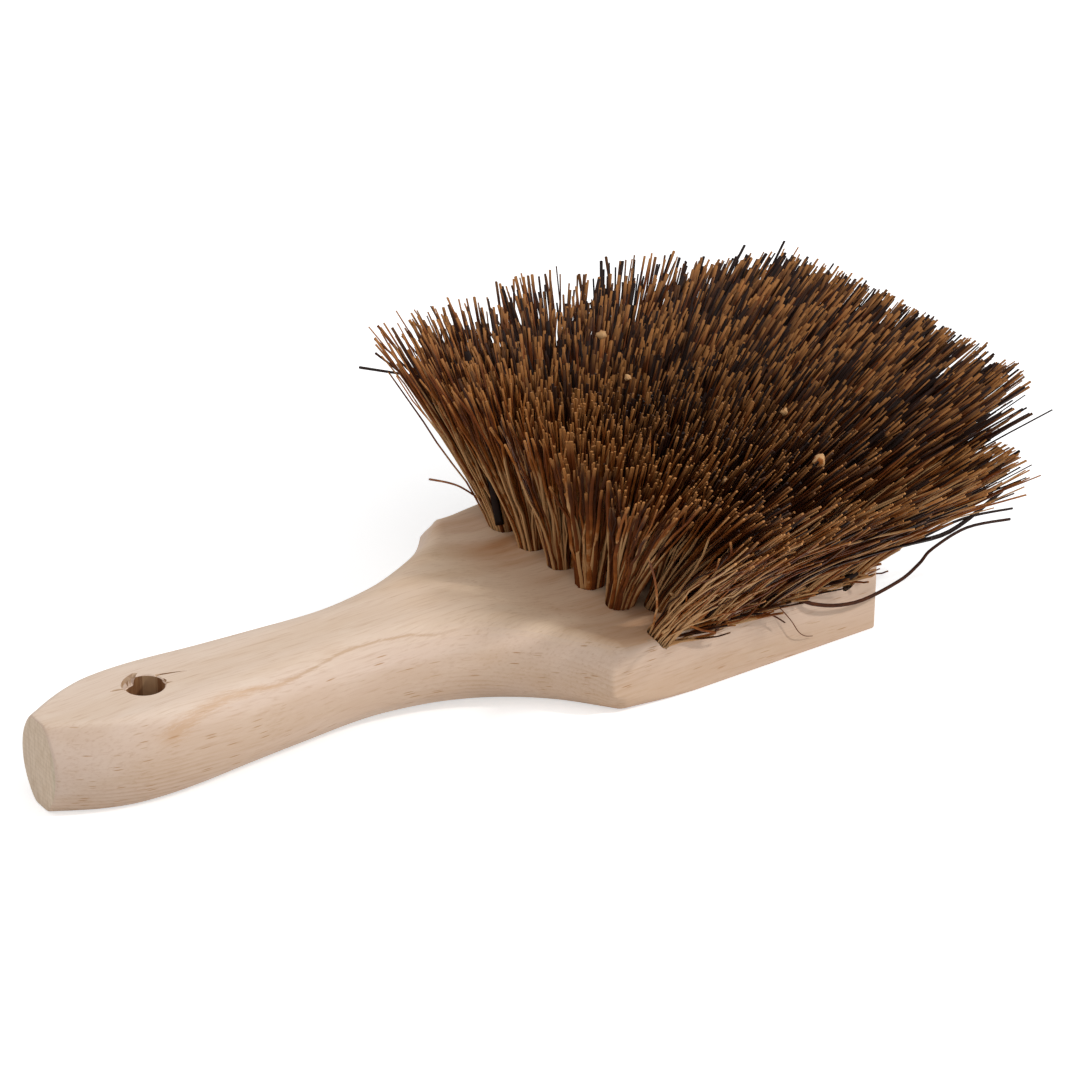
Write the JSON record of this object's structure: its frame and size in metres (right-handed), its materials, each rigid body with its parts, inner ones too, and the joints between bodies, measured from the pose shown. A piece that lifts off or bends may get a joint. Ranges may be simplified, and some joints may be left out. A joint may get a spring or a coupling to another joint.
{
  "type": "wok brush",
  "caption": "Wok brush with a one-piece beech handle and block, and coarse palm-fibre bristles fanned out and trimmed level.",
  "frame": {"origin": "bottom centre of the whole brush's box, on the level of the flat back that it lies on", "axes": "+X from the handle's end to the tip of the bristles, +Y across, +Z from the flat back up through the bristles"},
  "size_m": [0.308, 0.1856, 0.0741],
  "materials": {
    "beech": "bare, fine-sanded",
    "palm_fibre": "dull, coarse"
  },
  "bodies": {
    "root": {"handle_block": "beech", "tuft_a1": "palm_fibre", "tuft_a2": "palm_fibre", "tuft_a3": "palm_fibre", "tuft_a4": "palm_fibre", "tuft_a5": "palm_fibre", "tuft_a6": "palm_fibre", "tuft_b1": "palm_fibre", "tuft_b2": "palm_fibre", "tuft_b3": "palm_fibre", "tuft_b4": "palm_fibre", "tuft_b5": "palm_fibre", "tuft_b6": "palm_fibre", "tuft_c1": "palm_fibre", "tuft_c2": "palm_fibre", "tuft_c3": "palm_fibre", "tuft_c4": "palm_fibre", "tuft_c5": "palm_fibre", "tuft_c6": "palm_fibre", "tuft_d1": "palm_fibre", "tuft_d2": "palm_fibre", "tuft_d3": "palm_fibre", "tuft_d4": "palm_fibre", "tuft_d5": "palm_fibre", "tuft_d6": "palm_fibre", "tuft_e1": "palm_fibre", "tuft_e2": "palm_fibre", "tuft_e3": "palm_fibre", "tuft_e4": "palm_fibre", "tuft_e5": "palm_fibre", "tuft_e6": "palm_fibre", "tuft_f1": "palm_fibre", "tuft_f2": "palm_fibre", "tuft_f3": "palm_fibre", "tuft_f4": "palm_fibre", "tuft_f5": "palm_fibre", "tuft_f6": "palm_fibre", "tuft_g1": "palm_fibre", "tuft_g2": "palm_fibre", "tuft_g3": "palm_fibre", "tuft_g4": "palm_fibre", "tuft_g5": "palm_fibre", "tuft_g6": "palm_fibre", "tuft_h1": "palm_fibre", "tuft_h2": "palm_fibre", "tuft_h3": "palm_fibre", "tuft_h4": "palm_fibre", "tuft_h5": "palm_fibre", "tuft_h6": "palm_fibre", "tuft_i1": "palm_fibre", "tuft_i2": "palm_fibre", "tuft_i3": "palm_fibre", "tuft_i4": "palm_fibre", "tuft_i5": "palm_fibre", "tuft_i6": "palm_fibre"}
  },
  "joints": []
}
